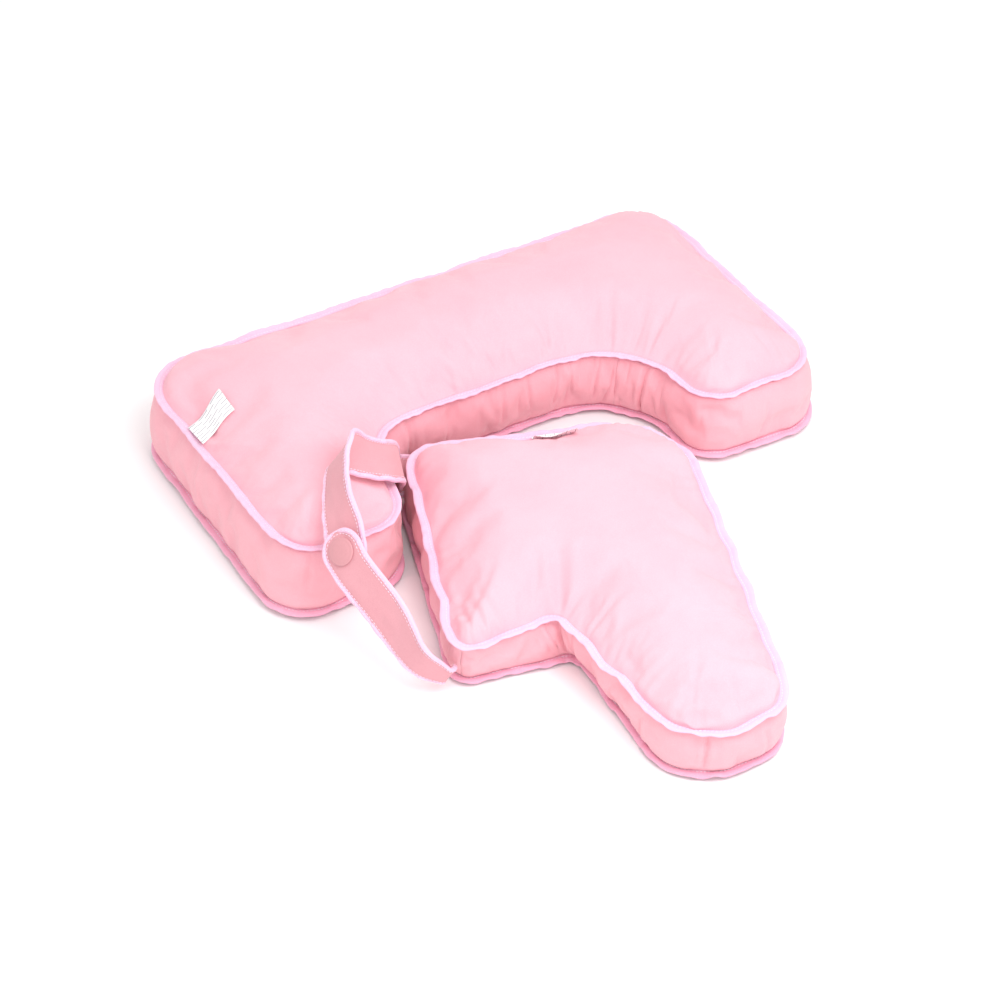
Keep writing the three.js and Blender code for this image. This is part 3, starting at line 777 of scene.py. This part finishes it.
class Strap:
    """A strap half: points at length s, across by t and out of the outer face by n."""

    def __init__(self, route, facing, root, pinch):
        self.pinch = pinch
        upper = smooth_curve([r[0] for r in route], 401) * MM + SHIFT
        lower = smooth_curve([r[1] for r in route], 401) * MM + SHIFT
        middle = (upper + lower) / 2
        step = np.linalg.norm(np.diff(middle, axis=0), axis=1)
        self.lengths = np.concatenate([[0], np.cumsum(step)])
        self.length = self.lengths[-1]
        along = np.empty_like(middle)
        gap = 4
        for i in range(len(middle)):
            along[i] = middle[min(400, i + gap)] - middle[max(0, i - gap)]
        self.along = unit(along)
        across = upper - lower
        across -= self.along * (across * self.along).sum(1, keepdims=True)
        self.across = unit(across)
        self.out = np.cross(self.along, self.across) * facing
        self.middle = middle
        self.sew_root(*root)

    def sew_root(self, angle, radius, tail):
        """Carries the strap on past its root, round an arc and into the wall that it is sewn to."""
        axis = self.across[0]
        side = np.cross(axis, self.along[0])
        bend = abs(angle) * radius
        self.first = -(bend + tail)
        places, alongs, outs = [], [], []
        at = self.middle[0].copy()
        lengths = np.linspace(0, bend + tail, 25)
        for here in lengths[1:]:
            turned = math.copysign(min(here, bend) / radius, angle)
            ahead = self.along[0] * math.cos(turned) + side * math.sin(turned)
            at = at - ahead * (lengths[1] - lengths[0])
            places.append(at)
            alongs.append(ahead)
            outs.append(np.cross(ahead, axis) * np.sign(np.cross(self.along[0], axis) @ self.out[0]))
        self.lengths = np.concatenate([-lengths[:0:-1], self.lengths])
        self.middle = np.concatenate([places[::-1], self.middle])
        self.along = np.concatenate([alongs[::-1], self.along])
        self.out = np.concatenate([outs[::-1], self.out])
        self.across = np.concatenate([np.repeat(axis[None], len(places), 0), self.across])

    def pick(self, rows, s):
        s = np.asarray(s, float)
        return np.stack([np.interp(s, self.lengths, rows[:, i]) for i in range(3)], -1)

    def axes(self, s):
        return unit(self.pick(self.along, s)), unit(self.pick(self.across, s)), unit(self.pick(self.out, s))

    def place(self, s, t, n):
        s, t, n = (np.asarray(x, float)[..., None] for x in (s, t, n))
        along, across, out = self.axes(s[..., 0])
        beyond = np.maximum(s - self.length, 0)
        spread = 1 - (1 - self.pinch) * (1 - swell(np.maximum(s, 0), 0.07))
        low = -np.sign(self.across[0][2])
        t = t * spread + low * (1 - spread) * STRAP_WIDTH * 0.4
        return self.pick(self.middle, s[..., 0]) + along * beyond + across * t + out * n


front = Strap(FRONT_ROUTE, -1, (1.5, 5 * MM, 2 * MM), 0.5)
SNAP_AT = front.length - STRAP_WIDTH / 2
STRAP_SIDES = (STRAP_WIDTH / 2, -STRAP_WIDTH / 2)
UNDER = [[tuple((front.place(SNAP_AT + ahead, t, -STACK) - SHIFT) / MM) for t in STRAP_SIDES]
         for ahead in (STRAP_WIDTH / 2, 0, -STRAP_WIDTH / 2)]
rear = Strap(REAR_ROUTE + UNDER, 1, (-1.6, 6 * MM, 8 * MM), 1.0)


def strap_web(name, strap, root, seed):
    """The strap's padded face: a thin crowned shell with stitched edges and small ripples."""
    end = strap.length - STRAP_WIDTH / 2
    half = STRAP_WIDTH / 2 - STRAP_EDGE * 0.6
    rows = 90
    cols = 16
    s = np.linspace(root, end, rows)
    extra = np.linspace(0, 1, 14)[1:] * 0.5 * math.pi
    s = np.concatenate([s, end + half * np.sin(extra)])
    w = np.concatenate([np.full(rows, half), np.maximum(half * np.cos(extra), 0.4 * MM)])
    t = np.linspace(-1, 1, cols + 1)
    ss = np.repeat(s[:, None], cols + 1, 1)
    tt = w[:, None] * t[None]
    edge = np.maximum(half - np.abs(tt), 0)
    rng_offset = seed * 7.3
    rough = np.array([[
        noise.noise(Vector((a * 60 + rng_offset, b * 90, seed)), noise_basis="PERLIN_ORIGINAL")
        for a, b in zip(ra, rb)
    ] for ra, rb in zip(ss, tt)])
    pucker = np.sin(2 * np.pi * ss / 0.0062 + 3 * rough) * np.exp(-edge / 0.004) * 0.28 * MM
    puff = 0.5 * MM * swell(edge, 0.006)
    front_n = WEB_THICK / 2 + puff + pucker + rough * 0.7 * MM
    back_n = -WEB_THICK / 2 - puff + pucker + rough * 0.5 * MM
    a = strap.place(ss, tt, front_n)
    b = strap.place(ss, tt, back_n)
    size = ss.size
    ids = np.arange(size).reshape(ss.shape)
    back = ids + size
    faces = [grid_quads(ids), grid_quads(back)[:, ::-1]]
    for p, q in ((ids[:, 0], back[:, 0]), (back[:, -1], ids[:, -1])):
        faces.append(np.stack([p[:-1], q[:-1], q[1:], p[1:]], 1))
    for p, q in ((ids[0], back[0]), (back[-1], ids[-1])):
        faces.append(np.stack([p[:-1], p[1:], q[1:], q[:-1]], 1))
    faces = np.concatenate(faces)
    uv = np.concatenate([np.stack([ss.ravel(), tt.ravel()], 1)] * 2)
    points = np.concatenate([a.reshape(-1, 3), b.reshape(-1, 3)])
    obj = mesh_object(name, points, faces, uv[faces])
    return finish_with(obj, STRAP)


def strap_path(strap, root, inset):
    """Places around a strap half's edge, up one side, round the tip and down the other."""
    end = strap.length - STRAP_WIDTH / 2
    r = STRAP_WIDTH / 2 - inset
    side = np.arange(root, end, 2.5 * MM)
    turn = np.linspace(-0.5, 0.5, 25)[1:-1] * math.pi
    s = np.concatenate([side, [end], end + r * np.cos(turn), [end], side[::-1]])
    t = np.concatenate([np.full(len(side) + 1, -r), r * np.sin(turn), np.full(len(side) + 1, r)])
    ds = np.concatenate([np.zeros(len(side) + 1), np.cos(turn), np.zeros(len(side) + 1)])
    dt = np.concatenate([np.full(len(side) + 1, -1.0), np.sin(turn), np.full(len(side) + 1, 1.0)])
    return s, t, ds, dt


# Edge binding profile: distance out from its middle, and out of the strap's face, in mm.
EDGE_PROFILE = [
    (-2.2, -1.5), (-1.2, -2.0), (0.4, -2.2), (1.6, -1.7), (2.2, -0.7), (2.2, 0.7), (1.6, 1.7), (0.4, 2.2),
    (-1.2, 2.0), (-2.2, 1.5),
]


def strap_tape(name, strap, root, seed):
    s, t, ds, dt = strap_path(strap, root, STRAP_EDGE / 2)
    steps = np.hypot(np.diff(s), np.diff(t))
    arc = np.concatenate([[0], np.cumsum(steps)])
    profile = np.array(EDGE_PROFILE) * MM
    wave = ripple(arc, arc[-1], [int(arc[-1] / w) for w in (0.04, 0.027, 0.018)], seed) * 0.35 * MM
    o = profile[:, 0][None] + 0.6 * wave[:, None]
    points = strap.place(s[:, None] + ds[:, None] * o, t[:, None] + dt[:, None] * o,
                         profile[:, 1][None] + wave[:, None])
    count, size = points.shape[:2]
    ids = np.arange(count * size).reshape(count, size)
    wrapped = np.concatenate([ids, ids[:, :1]], 1)
    faces = [tuple(f) for f in grid_quads(wrapped)]
    across = np.concatenate([[0], np.cumsum(np.linalg.norm(np.diff(profile, axis=0), axis=1))])
    across = np.append(across, across[-1] + 0.003)
    uv = [[(arc[i + a], across[j + b]) for a, b in ((0, 0), (1, 0), (1, 1), (0, 1))]
          for i in range(count - 1) for j in range(size)]
    for row, order in ((0, range(size)), (count - 1, range(size - 1, -1, -1))):
        faces.append(tuple(int(ids[row, j]) for j in order))
        uv.append([(arc[row], across[j]) for j in order])
    obj = mesh_object(name, points.reshape(-1, 3), faces, uv)
    return finish_with(obj, TAPE)


def strap_stitches(name, strap, root):
    s, t, _, _ = strap_path(strap, root, STRAP_EDGE + 0.9 * MM)
    s2, t2, _, _ = strap_path(strap, root, STRAP_EDGE * 0.55)
    lines = []
    for ss, tt, lift in ((s, t, 1.85 * MM), (s2, t2, 2.25 * MM)):
        _, _, out = strap.axes(ss)
        for face in (1, -1):
            lines.append((strap.place(ss, tt, np.full(len(ss), face * lift)), out * face))
    return stitch_rows(name, lines, radius=0.26 * MM)


# ------------------------------------------------------------------ snap
def snap_matrix(strap, s, drop=0.0):
    along, across, out = (x for x in strap.axes(np.array(s)))
    other = np.cross(out, across)
    at = strap.place(np.array(s), np.array(0.0), np.array(-drop))
    matrix = np.eye(4)
    matrix[:3, 0], matrix[:3, 1], matrix[:3, 2], matrix[:3, 3] = across, other, out, at
    return matrix


def turned(name, profile, matrix, facets=48):
    """A turned piece from a closed profile of radius and height, in mm, placed by a matrix."""
    points = []
    for r, z in profile:
        for k in range(facets):
            a = 2 * math.pi * k / facets
            points.append((r * math.cos(a) * MM, r * math.sin(a) * MM, z * MM, 1))
    ids = np.arange(len(points)).reshape(len(profile), facets)
    loop = np.concatenate([ids, ids[:, :1]], 1)
    loop = np.concatenate([loop, loop[:1]], 0)
    faces = grid_quads(loop)[:, ::-1]
    points = (matrix @ np.array(points).T).T[:, :3]
    obj = mesh_object(name, points, faces)
    bpy.context.view_layer.objects.active = obj
    obj.modifiers.new("weld", "WELD").merge_threshold = 0.00001
    return finish_with(obj, SNAP)


# ------------------------------------------------------------------ labels
def surface_height(cover, x, y):
    """Height of the top panel near a place, averaged over a patch wider than its fine folds."""
    grid = cover.top.reshape(-1, 3)
    d = np.linalg.norm(grid[:, :2] - np.array([x, y]), axis=1)
    weight = np.exp(-((d / (5 * MM)) ** 2)) + 1e-9
    return float((grid[:, 2] * weight).sum() / weight.sum())


def label_piece(name, cover, corners, lift, curl):
    """A folded woven label lying on a top panel: corners are base start, base end, far end, far start."""
    p = np.array(corners, float) * MM + SHIFT[:2]
    across, deep = 14, 18
    u = np.linspace(0, 1, across + 1)
    v = np.linspace(0, 1, deep + 1)
    top = []
    for b in v:
        row = []
        for a in u:
            xy = (p[0] * (1 - a) + p[1] * a) * (1 - b) + (p[3] * (1 - a) + p[2] * a) * b
            z = surface_height(cover, *xy) + lift * MM
            z += curl * MM * (b**2 * (0.6 + 0.4 * math.cos(5 * a)) + 0.25 * math.sin(7 * b + 3 * a))
            row.append((*xy, z))
        top.append(row)
    top = np.array(top)
    under = top - np.array([0, 0, 0.5 * MM])
    size = (across + 1) * (deep + 1)
    ids = np.arange(size).reshape(deep + 1, across + 1)
    back = ids + size
    faces = [grid_quads(ids), grid_quads(back)[:, ::-1]]
    for a, b in ((ids[:, 0], back[:, 0]), (back[:, -1], ids[:, -1])):
        faces.append(np.stack([a[:-1], b[:-1], b[1:], a[1:]], 1))
    for a, b in ((ids[0], back[0]), (back[-1], ids[-1])):
        faces.append(np.stack([a[:-1], a[1:], b[1:], b[:-1]], 1))
    faces = np.concatenate(faces)
    wide = np.linalg.norm(p[1] - p[0])
    long = np.linalg.norm(p[3] - p[0])
    uu, vv = np.meshgrid(u * wide, v * long)
    uv = np.concatenate([np.stack([vv.ravel(), uu.ravel()], 1)] * 2)
    obj = mesh_object(name, np.concatenate([top.reshape(-1, 3), under.reshape(-1, 3)]), faces, uv[faces])
    finish_with(obj, LABEL)
    return obj, (wide, long)


# ------------------------------------------------------------------ assembly
# Folds running in from the top seams: start x and y, heading in degrees, length, half width, depth.
LARGE_FOLDS = [
    (2, 76, 105, 60, 3.0, 1.3), (-40, 70, 120, 45, 2.5, 0.9), (60, 74, 80, 45, 2.6, 0.9),
    (118, 58, 60, 60, 3.2, 1.4), (145, 34, 35, 55, 3.0, 1.4), (-120, 30, 160, 50, 3.0, 1.1),
    (-262, -44, 55, 45, 3.0, 1.5), (-235, -52, 80, 40, 2.6, 1.2), (240, -46, 100, 50, 3.0, 1.1),
    (-286, 60, 10, 40, 2.6, 0.8), (283, 20, 170, 45, 2.8, 0.9), (180, -30, 60, 50, 3.0, 1.1),
]
SMALL_FOLDS = [
    (-103, -214, 62, 90, 7.0, 3.2), (-108, -222, 20, 45, 3.4, 1.6), (-98, -250, 10, 50, 3.0, 1.4),
    (-196, -196, 72, 60, 3.0, 1.7), (-184, -200, 80, 48, 2.6, 1.4), (-172, -204, 88, 58, 2.8, 1.6),
    (-158, -205, 96, 40, 2.6, 1.1), (-196, -160, 30, 45, 2.8, 1.0), (-72, -372, 50, 50, 3.0, 1.2),
    (-40, -398, 80, 40, 2.6, 1.0), (10, -18, 225, 40, 3.0, 1.2),
]
# Wall creases: x and y of the nearest seam, half width, depth, slant, and heights from and to.
LARGE_CREASES = [
    (2, 78, 2.2, 2.2, 6, 0.3, 1), (34, 78, 1.8, 1.8, -5, 0.35, 1),
    (62, 78, 1.8, 2.0, 8, 0.2, 1), (82, 74, 1.6, 1.6, -8, 0.3, 1),
    (106, 65, 1.8, 2.0, 8, 0.2, 1), (118, 56, 1.6, 1.6, 12, 0.1, 0.9),
    (146, 32, 2.4, 3.4, 4, 0, 1), (-60, 72, 2.0, 1.4, 10, 0, 0.7),
    (-100, 54, 2.2, 1.8, 0, 0.1, 1), (-286, 30, 2.4, 1.3, 12, 0, 0.7),
    (-288, 120, 2.4, 1.2, -10, 0.2, 1), (-262, -50, 2.2, 1.8, 0, 0.3, 1),
    (-215, -54, 2.2, 1.4, 10, 0, 0.7), (220, -50, 2.4, 1.6, 9, 0, 0.8),
    (286, -20, 2.4, 1.4, 8, 0.2, 1),
]
SMALL_CREASES = [
    (-108, -210, 2.6, 3.6, 4, 0, 1), (-126, -208, 2.0, 1.4, -8, 0, 0.8),
    (-100, -230, 2.4, 2.2, 8, 0, 1), (-97, -290, 2.2, 1.5, 12, 0, 0.7),
    (-95, -340, 2.2, 1.7, 10, 0, 0.8), (-70, -392, 2.0, 2.4, 3, 0.1, 1),
    (-20, -402, 2.2, 1.4, -8, 0, 0.8), (-190, -190, 2.2, 1.4, 6, 0.2, 1),
    (-160, -90, 2.4, 1.4, 8, 0, 0.7),
]


large = Cover(LARGE)
stuff(large, seed=11, cap=9 * MM, pressure=5.0)
small = Cover(SMALL)
stuff(small, seed=31, cap=8 * MM, pressure=5.0)
dent(large, -150, 225, 70, 7)
dent(large, -285, 140, 30, 2)
dent(small, 12, -18, 34, 11)
folds(large, LARGE_FOLDS)
folds(small, SMALL_FOLDS)
gather(large, 5, 1.0 * MM, 0.018)
gather(small, 9, 1.0 * MM, 0.018)
crease_wall(large, LARGE_CREASES)
crease_wall(small, SMALL_CREASES)


def cushion_pieces(kind, cover, body, seed, walls):
    """Every sewn piece of one cushion, each riding on the cushion's body."""
    shell = cover_piece(f"{kind}_cover", cover)
    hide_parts(f"{kind}_fill", f"{kind}_top_panel", f"{kind}_bottom_panel")
    made = [shell]
    for node, (first, last) in walls.items():
        piece = wall_piece(f"{node}_cloth", cover, first, last)
        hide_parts(node)
        made.append(piece)
    for edge, turn in (("top", 1), ("bottom", -1)):
        tape = flange_piece(f"{kind}_{edge}_tape", cover, turn, seed + turn)
        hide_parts(f"{kind}_{edge}_binding")
        made.append(tape)
        made.append(flange_stitches(f"{kind}_{edge}_stitches", cover, turn, seed + turn))
    for piece in made:
        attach(piece, body)


bay_from = LARGE["steps"][0] * REFINE
bay_to = bay_from + LARGE["steps"][1] * REFINE
cushion_pieces("main", large, "main_cushion", 3, {
    "main_wall_bay": (bay_from, bay_to),
    "main_wall_outer": (bay_to, bay_from + len(large.at)),
})
end_wall = len(small.at) - SMALL["steps"][-1] * REFINE
cushion_pieces("small", small, "small_cushion", 17, {
    "small_wall": (0, end_wall),
    "small_end_wall": (end_wall, len(small.at)),
})

for name, strap, seed in (("front", front, 1), ("rear", rear, 2)):
    body = f"strap_{name}"
    root = strap.first
    web = strap_web(f"{body}_web_cloth", strap, root, seed)
    tape = strap_tape(f"{body}_tape", strap, root, seed + 40)
    stitches = strap_stitches(f"{body}_stitches", strap, root)
    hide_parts(f"{body}_web")
    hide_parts(f"{body}_binding")
    start = tuple(strap.place(0.0, 0.0, 0.0))
    end = tuple(strap.place(0.025, 0.0, 0.0))
    for piece in (web, tape, stitches):
        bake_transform(piece)

face = WEB_THICK / 2 / MM + 0.9
front_snap = snap_matrix(front, SNAP_AT)
rear_snap = front_snap @ np.array(Matrix.Translation((0, 0, -STACK)))
cap = turned("snap_cap_shell", [
    (0, -1.2), (1.7, -1.2), (1.7, face), (11.6, face), (12.2, face + 0.2), (12.5, face + 0.7),
    (12.3, face + 1.15), (11.6, face + 1.5), (10.6, face + 1.62), (10.0, face + 1.6), (9.2, face + 1.95),
    (7.0, face + 2.35), (4.0, face + 2.55), (0, face + 2.6),
], front_snap)
socket = turned("snap_socket_ring", [
    (3.2, -face), (5.9, -face), (6.2, -face - 0.3), (6.2, -face - 1.2), (5.6, -face - 1.7),
    (4.2, -face - 1.8), (3.4, -face - 1.7), (3.2, -face - 1.4),
], front_snap)
stud = turned("snap_stud_disc", [
    (0, face), (5.7, face), (6.0, face + 0.2), (5.8, face + 0.6), (2.4, face + 0.7), (1.7, face + 0.8),
    (1.45, face + 1.2), (1.6, face + 1.8), (1.3, face + 2.15), (0, face + 2.2),
], rear_snap)
post = turned("snap_post_disc", [
    (0, -face - 0.9), (4.6, -face - 0.85), (5.7, -face - 0.6), (6.0, -face - 0.3), (5.8, -face),
    (1.7, -face), (1.7, 1.2), (0, 1.2),
], rear_snap)
for piece, node, body in (
    (cap, "snap_cap", "strap_front"), (socket, "snap_socket", "strap_front"),
    (stud, "snap_stud", "strap_rear"), (post, "snap_post", "strap_rear"),
):
    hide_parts(node)
    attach(piece, body)

main_label, flat = label_piece(
    "main_label_cloth", large, [(-288.3, 157), (-287.2, 125), (-251, 129), (-252, 161)], 2.3, 2.0)
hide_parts("main_care_label")
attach(main_label, "main_label")
small_label, flat = label_piece(
    "small_label_cloth", small, [(36, -8), (-4, 4.4), (-9, -11), (31, -23)], 2.6, 5.0)
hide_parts("small_care_label")
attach(small_label, "small_label")


# ------------------------------------------------------------------ stage, lights, camera
def floor():
    size = 6.0
    points = [(-size, -size, 0), (size, -size, 0), (size, size, 0), (-size, size, 0)]
    obj = mesh_object("studio_floor", points, [(0, 1, 2, 3)], smooth=False)
    n = Nodes("floor_paper")
    n.set(Base_Color=(0.97, 0.965, 0.965, 1), Roughness=0.95)
    obj.data.materials.append(n.material)


def area_light(name, location, target, size, power, tint=(1, 1, 1)):
    data = bpy.data.lights.new(name, "AREA")
    data.shape = "DISK"
    data.size = size
    data.energy = power
    data.color = tint
    obj = bpy.data.objects.new(name, data)
    obj.location = location
    obj.rotation_euler = (Vector(target) - Vector(location)).to_track_quat("-Z", "Y").to_euler()
    bpy.context.scene.collection.objects.link(obj)


floor()
world = bpy.data.worlds.new("studio")
world.use_nodes = True
world.node_tree.nodes["Background"].inputs["Color"].default_value = (1, 1, 1, 1)
world.node_tree.nodes["Background"].inputs["Strength"].default_value = 1.0
bpy.context.scene.world = world
area_light("key", (0.0, -0.5, 1.0), (-0.03, -0.02, 0.05), 0.8, 7.3)
area_light("fill", (-0.2, -1.8, 0.5), (0.0, 0.1, 0.05), 1.4, 2.2)

TARGET = Vector((-0.041, 0.07205, 0.0))
camera_data = bpy.data.cameras.new("camera")
camera_data.lens = 83.3
camera_data.sensor_width = 36.0
camera = bpy.data.objects.new("camera", camera_data)
camera.location = TARGET + 2.2125 * Vector((-0.3802, -0.6585, 0.6494))
camera.rotation_euler = (TARGET - camera.location).to_track_quat("-Z", "Y").to_euler()
bpy.context.scene.collection.objects.link(camera)
bpy.context.scene.camera = camera
bpy.context.scene.view_settings.view_transform = "Standard"
